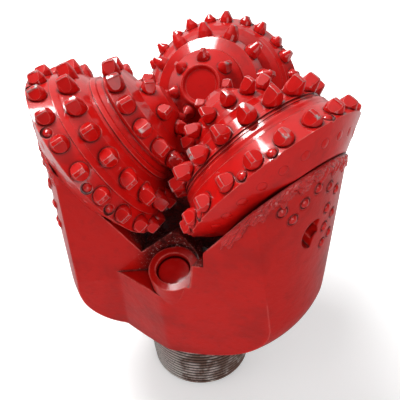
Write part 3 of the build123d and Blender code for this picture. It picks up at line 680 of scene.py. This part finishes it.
def chisel_material(name, unit, paint, steel_set):
    """Painted chisels whose crests have rubbed down to the carbide, with the carbide grey also painted along
    crest edges as a highlight.
    """
    material, tree, shader = new_material(name + "_finish")
    where = on_cone(tree, unit)
    crests = []
    for station, radius, lean, height in CHISEL_RINGS[name]:
        up = times(tree, maths(tree, "SUBTRACT", where["Radius"], radius), cos(radians(lean)))
        along = times(tree, maths(tree, "SUBTRACT", where["Station"], station), sin(radians(lean)))
        rise = maths(tree, "SUBTRACT", up, along)
        tip = station - height * sin(radians(lean))
        aside = maths(tree, "ABSOLUTE", maths(tree, "SUBTRACT", where["Station"], tip))
        crests.append(times(tree, ramp(tree, rise, height - 0.0022, height - 0.0005),
                            ramp(tree, aside, 0.0075, 0.0065)))
    place = here(tree)
    edges = use(tree, "bit_edges", Width=0.0011)
    flakes = noise(tree, place, 0.0030, 4.0, 0.7)
    spared = noise(tree, place, 0.034, 1.0, 0.5)
    rubbed = times(tree, ramp(tree, flakes, 0.42, 0.60), ramp(tree, spared, 0.59, 0.63))
    # Crest edges take the carbide grey as a painted highlight; the rubbed flakes are real wear.
    worn = times(tree, most(tree, *crests), most(tree, rubbed, times(tree, edges["Mask"], 0.75)))
    coat = enamel(tree, paint, paint.cone, edges["Mask"], 0.6)
    lacquer(tree, shader, paint, coat, blend(tree, worn, coat["Color"], rgba(steel_set.carbide)),
            times(tree, worn, 0.5), 0.0003, edges["Normal"])
    return material


def button_material(name, paint, steel_set, bare=0.0):
    """Painted domed buttons with painted shade in the gaps round them; where bare is over 0, that share of
    the paint's flakes shows carbide.
    """
    material, tree, shader = new_material(name)
    edges = use(tree, "bit_edges", Width=0.0012)
    coat = enamel(tree, paint, paint.cone, 0.0, 0.5)
    tone, metal = coat["Color"], 0.0
    if bare:
        flakes = noise(tree, here(tree), 0.0026, 4.0, 0.65)
        worn = times(tree, ramp(tree, flakes, 0.50, 0.62), bare)
        tone, metal = blend(tree, worn, tone, rgba(steel_set.carbide)), times(tree, worn, 0.6)
    lacquer(tree, shader, paint, coat, tone, metal, 0.0003, edges["Normal"])
    return material


def metal_material(name, bright, stain, stained):
    """Machined metal with stains and a fine grain."""
    material, tree, shader = new_material(name)
    steel = use(tree, "bit_steel", Bright=rgba(bright), Stain=rgba(stain), Stained=stained)
    feed(tree, shader, Base_Color=steel["Color"], Metallic=0.95, Roughness=steel["Roughness"],
         Normal=bumped(tree, steel["Height"], 0.00004))
    return material


def rubber_material(steel_set):
    """Moulded black rubber with a faint bloom."""
    material, tree, shader = new_material("seal_rubber")
    place = here(tree)
    bloom = noise(tree, place, 0.004, 4.0, 0.6)
    grain = noise(tree, place, 0.0006, 2.0, 0.5)
    tone = blend(tree, ramp(tree, bloom, 0.45, 0.75, 0.0, 0.5), rgba(steel_set.rubber),
                 (0.06, 0.06, 0.062, 1))
    feed(tree, shader, Base_Color=tone, Roughness=ramp(tree, bloom, 0.3, 0.7, 0.55, 0.75),
         Normal=bumped(tree, grain, 0.00005))
    return material


def dress(name, material):
    """Give a CAD node one material."""
    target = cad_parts[name]
    target.data.materials.clear()
    target.data.materials.append(material)


# ---- meshes
def grid_faces(rows, columns):
    """Quads between neighbours of a grid stored row by row, with the columns in line."""
    row, column = np.meshgrid(np.arange(rows - 1), np.arange(columns - 1), indexing="ij")
    first = (row * columns + column).ravel()
    return np.stack([first, first + 1, first + columns + 1, first + columns], axis=1)


def mesh_piece(name, points, faces, material, body, smooth=False):
    """A finished piece from whole arrays, riding on a body."""
    mesh = bpy.data.meshes.new(name)
    mesh.from_pydata(points.tolist(), [], np.asarray(faces).tolist())
    shell = bmesh.new()
    shell.from_mesh(mesh)
    bmesh.ops.remove_doubles(shell, verts=shell.verts, dist=0.000002)
    shell.to_mesh(mesh)
    shell.free()
    mesh.polygons.foreach_set("use_smooth", np.full(len(mesh.polygons), smooth))
    mesh.materials.append(material)
    mesh.validate()
    mesh.update()
    piece = bpy.data.objects.new(name, mesh)
    bpy.context.scene.collection.objects.link(piece)
    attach(piece, body)
    return piece


def thread_mesh(thread):
    """Tapered helical thread as one closed ridge.

    Turn t in radians and profile point k give height z = start + pitch * t / 2 pi + offset(k) and
    radius root(z) - sunk + (depth + sunk) * lift(k) * fade(t), where the root grows by half the taper
    and fade runs from 0 to 1 and back at the ends, so the ridge sinks into the pin there.
    """
    turns = (thread.end - thread.start) / thread.pitch
    steps = int(turns * THREAD_STEPS)
    turn = np.linspace(0, turns * 2 * pi, steps)[:, None]
    half_crest = thread.crest / 2
    half_foot = half_crest + thread.depth * tan(radians(THREAD_FLANK))
    offset = np.array([-half_foot, -half_crest, half_crest, half_foot])[None, :]
    lift = np.array([0.0, 1.0, 1.0, 0.0])[None, :]
    fade = np.clip(np.minimum(turn / THREAD_RUN_IN, (turn[-1] - turn) / THREAD_RUN_OUT), 0, 1)
    fade = fade * fade * (3 - 2 * fade)
    height = thread.start + thread.pitch * turn / (2 * pi) + offset
    foot = thread.root_radius + height * thread.taper / 2 - THREAD_SUNK
    radius = foot + (thread.depth + THREAD_SUNK) * lift * fade
    points = np.stack([radius * np.cos(turn), radius * np.sin(turn), height], axis=-1)
    count = offset.shape[1]
    ring = np.arange(count)
    step = np.arange(steps - 1)[:, None]
    near = step * count + ring
    side = step * count + (ring + 1) % count
    faces = np.stack([near, near + count, side + count, side], axis=-1).reshape(-1, 4)
    ends = [list(range(count)), list(range(steps * count - 1, (steps - 1) * count - 1, -1))]
    return points.reshape(-1, 3), faces.tolist() + ends


def band_mesh(unit, band):
    """Ring band turned about a cone's axis.

    A profile point of station s and radius r at turn t stands at origin + s * axis + r * (upward * cos t
    + level * sin t). The top runs through the band's points, each lifted off the cone's skin, and the
    underside lies below the skin, so the ring is closed.
    """
    stations, lifts = np.array(band).T
    skin_stations, skin_radii = np.array(CONE_SKINS[unit]).T
    along = np.linspace(stations[0], stations[-1], 25)
    lift = np.interp(along, stations, lifts)
    radii = np.interp(along, skin_stations, skin_radii)
    top = np.stack([along, radii + lift - BAND_SUNK], axis=-1)
    under = np.stack([along, radii - BAND_ROOT], axis=-1)[::-1]
    profile = np.concatenate([top, under, top[:1]])
    turn = np.linspace(0, 2 * pi, BAND_STEPS)[:, None]
    axis = np.array(cone_out(unit))
    level = np.array(sideways(UNIT_AZIMUTHS[unit]))
    upward = np.cross(level, axis)
    middle = np.array(cone_origin(unit))
    ring = np.cos(turn)[..., None] * upward + np.sin(turn)[..., None] * level
    points = middle + profile[None, :, 0:1] * axis + profile[None, :, 1:2] * ring
    return points.reshape(-1, 3), grid_faces(BAND_STEPS, len(profile))[:, ::-1]


def shirttail_mesh(unit, button):
    """Buttons of one shirttail: a domed head in a gap, turned about a level line at each spot.

    The dome's height at a radius r is head * (1 - (r / dome radius) ** 2.4).
    """
    part = np.linspace(0.0, 1.0, 7)
    dome = np.stack([part * button.dome, button.head * (1 - part ** 2.4)], axis=-1)
    gap = button.radius - button.lip
    rim = np.array([(button.dome * 1.01, -button.gap), (gap * 0.985, -button.gap), (gap, 0.0),
                    (button.radius, 0.00015), (button.radius, -BUTTON_ROOT), (0.0, -BUTTON_ROOT)])
    profile = np.concatenate([dome, rim])
    turn = np.linspace(0, 2 * pi, BUTTON_STEPS)
    azimuths, heights = np.array(SHIRTTAIL_SPOTS).T
    azimuths = np.radians(azimuths + UNIT_AZIMUTHS[unit])
    zero = np.zeros_like(azimuths)
    out = np.stack([np.sin(azimuths), -np.cos(azimuths), zero], axis=-1)
    level = np.stack([np.cos(azimuths), np.sin(azimuths), zero], axis=-1)
    up = np.array([0.0, 0.0, 1.0])
    seats = out * LEG_RADIUS + heights[:, None] * up
    spoke = np.cos(turn)[None, :, None] * level[:, None] + np.sin(turn)[None, :, None] * up
    points = (seats[:, None, None] + spoke[:, :, None] * profile[None, None, :, 0:1]
              + out[:, None, None] * profile[None, None, :, 1:2])
    one = grid_faces(BUTTON_STEPS, len(profile))
    step = BUTTON_STEPS * len(profile)
    faces = (np.arange(len(azimuths))[:, None, None] * step + one[None]).reshape(-1, 4)
    return points.reshape(-1, 3), faces


def leg_reach(turn, height):
    """Distance of a leg's outside from the bit's axis at an azimuth from the leg and a height.

    The least of the round face and of the two flat faces, each distance / cos(azimuth to its normal).
    """
    reach = np.full(turn.shape, LEG_RADIUS)
    for azimuth, distance, lean in (FLANK_FACE, BACK_FACE):
        stands = distance + (height - FACE_BREAK_HEIGHT) * tan(radians(lean))
        toward = np.maximum(np.cos(np.radians(turn - azimuth)), 0.1)
        reach = np.minimum(reach, stands / toward)
    return reach


def bead_lumps(along, across):
    """Height of weld beads from 0 to 1: roots of crossed waves, which make domes with sharp valleys."""
    wander = np.sin(along * 1.7 + 1.3 * np.sin(across * 1.1)) * 0.9
    rows = np.sqrt(np.abs(np.cos(across * 0.8 + wander)))
    drops = np.sqrt(np.abs(np.sin(along * 1.7 + 1.4 * np.sin(across * 0.9 + along * 0.23))))
    grit = 0.5 + 0.5 * np.sin(along * 9.7 + 3.1 * np.cos(across * 5.3)) * np.cos(across * 7.1 + along * 2.3)
    return 0.85 * rows * drops + 0.15 * grit


def facing_mesh(unit, facing):
    """Hard facing along the edge of one shirttail, on a grid of azimuth by distance below the edge.

    A point at azimuth a and station s below the edge stands on the leg's outside at the height
    apex - (s - reach(a, height) * cos a * cos tilt) / sin tilt, found by repeating it a few times.
    Its reach is that of the leg - root + rim * (2 * root + height * lumps), where rim falls to nothing
    at the border and the border wanders, so the strip ends in runs and drops inside the leg.
    """
    tilt = radians(JOURNAL_ANGLE)
    first, last = FACING_SPAN
    turn = np.linspace(first, last, FACING_GRID[0])[:, None]
    down = np.linspace(0.0, 1.0, FACING_GRID[1])[None, :]
    along = np.radians(turn) * LEG_RADIUS / facing.bead * 2.0 + unit * 2.4
    width = facing.width * (1.0 + 0.22 * np.sin(along * 1.3) + 0.13 * np.sin(along * 3.1 + 1.0))
    station = LEG_FACE + FACING_START + down * width
    height = np.full(station.shape, 0.33)
    turn = np.broadcast_to(turn, station.shape)
    for _ in range(12):
        reach = leg_reach(turn, height)
        height = APEX_HEIGHT - (station - reach * np.cos(np.radians(turn)) * cos(tilt)) / sin(tilt)
    rim = np.clip(np.minimum(down / 0.10, (1 - down) / 0.22), 0, 1)
    ends = np.clip(np.minimum(turn - first, last - turn) / FACING_FADE, 0, 1)
    rim = np.sqrt(rim * ends)
    across = down * width / facing.bead * 6.0
    lumps = bead_lumps(np.broadcast_to(along, station.shape), across)
    reach = leg_reach(turn, height) - facing.root + rim * (2 * facing.root + facing.height * lumps)
    azimuth = np.radians(turn + UNIT_AZIMUTHS[unit])
    widest = np.where(np.sin(azimuth) < 0, -cad_box[0][0], cad_box[1][0])
    reach = np.minimum(reach, widest / np.maximum(np.abs(np.sin(azimuth)), 0.01))
    points = np.stack([reach * np.sin(azimuth), -reach * np.cos(azimuth), height], axis=-1)
    return points.reshape(-1, 3), grid_faces(*station.shape)


# ---- operators
class BitMakeEffects(Operator):
    """Make the node groups that the finishes share"""
    bl_idname = "drillbit.make_effects"
    bl_label = "Shared effects"

    def execute(self, context):
        make_cone_place()
        make_edges()
        make_seams()
        make_enamel()
        make_steel()
        return {"FINISHED"}


class BitPaintLegs(Operator):
    """Enamel the three legs and leave the pin bare"""
    bl_idname = "drillbit.paint_legs"
    bl_label = "Legs"

    def execute(self, context):
        scene = context.scene
        material = leg_material(scene.bit_paint, scene.bit_steel, scene.bit_thread)
        for unit in UNITS:
            dress(f"leg_{unit}", material)
        return {"FINISHED"}


class BitPaintCones(Operator):
    """Enamel the three cones"""
    bl_idname = "drillbit.paint_cones"
    bl_label = "Cones"

    def execute(self, context):
        for unit in UNITS:
            dress(f"cone_{unit}", cone_material(unit, context.scene.bit_paint))
        return {"FINISHED"}


class BitFinishInserts(Operator):
    """Paint the inserts and rub their crests bare"""
    bl_idname = "drillbit.finish_inserts"
    bl_label = "Inserts"

    def execute(self, context):
        scene = context.scene
        for name in CHISEL_RINGS:
            dress(name, chisel_material(name, int(name[-1]), scene.bit_paint, scene.bit_steel))
        heel = button_material("button_enamel", scene.bit_paint, scene.bit_steel)
        trimmer = button_material("trimmer_enamel", scene.bit_paint, scene.bit_steel, 0.12)
        for unit in UNITS:
            dress(f"heel_buttons_{unit}", heel)
            dress(f"shirttail_buttons_{unit}", trimmer)
            dress(f"trimmer_inserts_{unit}", trimmer)
        return {"FINISHED"}


class BitFinishFittings(Operator):
    """Finish the nozzles, plugs, caps, rings and bearing parts"""
    bl_idname = "drillbit.finish_fittings"
    bl_label = "Fittings"

    def execute(self, context):
        scene = context.scene
        steel_set = scene.bit_steel
        enamel = button_material("fitting_enamel", scene.bit_paint, steel_set)
        carbide = metal_material("nozzle_carbide", steel_set.carbide, (0.12, 0.11, 0.10), 0.2)
        bronze = metal_material("bearing_bronze", steel_set.bronze, (0.20, 0.10, 0.04), 0.3)
        ball = metal_material("ball_steel", (0.62, 0.61, 0.60), (0.30, 0.28, 0.26), 0.1)
        spring = metal_material("spring_steel", (0.30, 0.30, 0.31), (0.10, 0.08, 0.07), 0.5)
        rubber = rubber_material(steel_set)
        kinds = {"nozzle_port_plug_": enamel, "reservoir_cap_": enamel, "ball_plug_": enamel,
                 "nozzle_": carbide, "journal_bushing_": bronze, "pilot_bushing_": bronze,
                 "thrust_washer_": bronze, "bearing_balls_": ball, "seal_ring_": rubber,
                 "reservoir_diaphragm_": rubber}
        for unit in UNITS:
            for stem, material in kinds.items():
                dress(stem + str(unit), material)
        dress("nozzle_o_rings", rubber)
        dress("nozzle_snap_rings", spring)
        dress("cap_snap_rings", spring)
        return {"FINISHED"}


class BitCutThread(Operator):
    """Run the tapered thread round the pin"""
    bl_idname = "drillbit.cut_thread"
    bl_label = "Pin thread"

    def execute(self, context):
        scene = context.scene
        points, faces = thread_mesh(scene.bit_thread)
        material = pin_material(scene.bit_steel, scene.bit_thread)
        piece = mesh_piece("pin_thread", points, faces, material, "bit_body")
        return {"FINISHED"}


class BitLayFacing(Operator):
    """Lay hard facing along the shirttails"""
    bl_idname = "drillbit.lay_facing"
    bl_label = "Hard facing"

    def execute(self, context):
        scene = context.scene
        material = facing_material(scene.bit_paint)
        for unit in UNITS:
            points, faces = facing_mesh(unit, scene.bit_facing)
            name = f"hard_facing_{unit}"
            piece = mesh_piece(name, points, faces, material, "bit_body", smooth=True)
        return {"FINISHED"}


class BitSetButtons(Operator):
    """Set the domed buttons in the shirttails"""
    bl_idname = "drillbit.set_buttons"
    bl_label = "Shirttail buttons"

    def execute(self, context):
        for unit in UNITS:
            name = f"shirttail_buttons_{unit}"
            points, faces = shirttail_mesh(unit, context.scene.bit_button)
            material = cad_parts[name].data.materials[0]
            piece = mesh_piece("domed_" + name, points, faces, material, "bit_body", smooth=True)
            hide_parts(name)
        return {"FINISHED"}


class BitRaiseBands(Operator):
    """Raise the bands that edge the cones' grooves"""
    bl_idname = "drillbit.raise_bands"
    bl_label = "Cone bands"

    def execute(self, context):
        for unit, bands in CONE_BANDS.items():
            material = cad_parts[f"cone_{unit}"].data.materials[0]
            for number, band in enumerate(bands, 1):
                points, faces = band_mesh(unit, band)
                name = f"cone_band_{unit}_{number}"
                piece = mesh_piece(name, points, faces, material, f"cone_{unit}")
        return {"FINISHED"}


class BitSetStage(Operator):
    """Set the floor, the room, the lamps and the camera"""
    bl_idname = "drillbit.set_stage"
    bl_label = "Stage"

    def execute(self, context):
        scene = context.scene
        settings = scene.bit_stage
        place_floor(settings)
        light_room(scene, settings)
        place_lamps(scene, settings)
        place_camera(scene)
        scene.view_settings.view_transform = "Standard"
        return {"FINISHED"}


# ---- stage
def place_floor(settings):
    """Round pale floor, a disc of rings that the pin stands on."""
    turn = np.linspace(0, 2 * pi, FLOOR_STEPS)[None, :]
    reach = np.array(FLOOR_RINGS)[:, None]
    points = np.stack([reach * np.cos(turn), reach * np.sin(turn), 0 * reach * turn], axis=-1)
    material, tree, shader = new_material("floor_paper")
    coords = here(tree)
    grain = noise(tree, coords, 0.3, 3.0)
    tone = blend(tree, grain, rgba(settings.floor), (0.9, 0.9, 0.9, 1))
    rays = tree.nodes.new("ShaderNodeLightPath").outputs
    behind = dot(tree, coords, BACKDROP_SIDE)
    near = times(tree, rays["Is Glossy Ray"], ramp(tree, behind, 0.45, -0.10))
    dim = blend(tree, near, tone, rgba(settings.floor_dim))
    lift = ramp(tree, reach_of(tree, coords), 0.20, 0.60, settings.floor_lift, 1.0)
    feed(tree, shader, Base_Color=dim, Roughness=0.9, Specular_IOR_Level=0.1, Emission_Color=(1, 1, 1, 1),
         Emission_Strength=times(tree, rays["Is Camera Ray"], lift))
    mesh = bpy.data.meshes.new("floor")
    faces = grid_faces(len(FLOOR_RINGS), FLOOR_STEPS)[:, ::-1]
    mesh.from_pydata(points.reshape(-1, 3).tolist(), [], faces.tolist())
    mesh.materials.append(material)
    mesh.validate()
    floor = bpy.data.objects.new("floor", mesh)
    bpy.context.scene.collection.objects.link(floor)


def light_room(scene, settings):
    """World that lights softly and shows white behind the bit and in its gloss."""
    world = bpy.data.worlds.new("studio")
    world.use_nodes = True
    tree = world.node_tree
    tree.nodes.clear()
    rays = tree.nodes.new("ShaderNodeLightPath").outputs
    coords = tree.nodes.new("ShaderNodeTexCoord").outputs["Generated"]
    height = height_of(tree, coords)
    behind = dot(tree, coords, BACKDROP_SIDE)
    paper = most(tree, ramp(tree, behind, 0.30, 0.80), ramp(tree, height, 0.62, 0.97))
    room = times(tree, ramp(tree, height, -0.10, 0.80, 0.35, 1.0), settings.surround)
    in_gloss = ramp(tree, paper, 0.0, 1.0, settings.gloss_dark, 0.9)
    lit = node(tree, "ShaderNodeMix", {0: rays["Is Glossy Ray"], 2: room, 3: in_gloss}).outputs[0]
    seen = most(tree, rays["Is Camera Ray"], rays["Is Transmission Ray"])
    strength = node(tree, "ShaderNodeMix", {0: seen, 2: lit, 3: 1.0}).outputs[0]
    back = node(tree, "ShaderNodeBackground", {"Color": rgba(settings.backdrop), "Strength": strength})
    out = tree.nodes.new("ShaderNodeOutputWorld")
    tree.links.new(back.outputs[0], out.inputs["Surface"])
    scene.world = world


def aimed(place, target):
    """Matrix that stands at a place and looks at a target."""
    look = (Vector(target) - Vector(place)).to_track_quat("-Z", "Y")
    return Matrix.Translation(place) @ look.to_matrix().to_4x4()


def place_lamps(scene, settings):
    """Soft boxes: a key from above, one that only gloss shows, and fills from the front and left."""
    for name, place, size, power, part, in_gloss, on_paint in LAMPS:
        lamp = bpy.data.lights.new(name, "AREA")
        lamp.shape = "SQUARE"
        lamp.size = size
        lamp.energy = getattr(settings, power) * part
        holder = bpy.data.objects.new(name, lamp)
        holder.matrix_world = aimed(place, LAMP_TARGET)
        holder.visible_glossy = in_gloss
        holder.visible_diffuse = on_paint
        scene.collection.objects.link(holder)


def place_camera(scene):
    """Camera in front of the bit, a little to its right and well above it."""
    lens = bpy.data.cameras.new("camera")
    lens.sensor_width = 36.0
    lens.lens = LENS_LENGTH
    lens.shift_x, lens.shift_y = LENS_SHIFT
    lens.clip_start = 0.01
    camera = bpy.data.objects.new("camera", lens)
    camera.matrix_world = aimed(EYE, EYE_TARGET) @ Matrix.Rotation(radians(EYE_ROLL), 4, "Z")
    scene.collection.objects.link(camera)
    scene.camera = camera


# ---- panel and registration
class BitPanel(Panel):
    """Sidebar panel with every step and setting of the bit"""
    bl_idname = "DRILLBIT_PT_tools"
    bl_label = "Drill bit"
    bl_space_type = "VIEW_3D"
    bl_region_type = "UI"
    bl_category = "Drill bit"

    def draw(self, context):
        layout = self.layout
        for operator in OPERATORS:
            layout.operator(operator.bl_idname)
        for name, group in SETTINGS.items():
            box = layout.box()
            for prop in group.__annotations__:
                box.prop(getattr(context.scene, name), prop)


SETTINGS = {"bit_paint": BitPaintSettings, "bit_steel": BitSteelSettings, "bit_thread": BitThreadSettings,
            "bit_facing": BitFacingSettings, "bit_button": BitButtonSettings,
            "bit_stage": BitStageSettings}
OPERATORS = (BitMakeEffects, BitPaintLegs, BitPaintCones, BitFinishInserts, BitFinishFittings,
             BitCutThread, BitLayFacing, BitSetButtons, BitRaiseBands, BitSetStage)


def register():
    """Register the settings, the operators and the panel."""
    for name, group in SETTINGS.items():
        bpy.utils.register_class(group)
        setattr(bpy.types.Scene, name, PointerProperty(type=group))
    for item in (*OPERATORS, BitPanel):
        bpy.utils.register_class(item)


def unregister():
    """Take away the panel, the operators and the settings."""
    for item in (BitPanel, *reversed(OPERATORS)):
        bpy.utils.unregister_class(item)
    for name, group in SETTINGS.items():
        delattr(bpy.types.Scene, name)
        bpy.utils.unregister_class(group)


def main():
    """Register the add-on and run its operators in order."""
    register()
    for operator in OPERATORS:
        family, name = operator.bl_idname.split(".")
        if getattr(getattr(bpy.ops, family), name)() != {"FINISHED"}:
            raise RuntimeError(operator.bl_label + " did not finish")


if __name__ == "__main__":
    main()
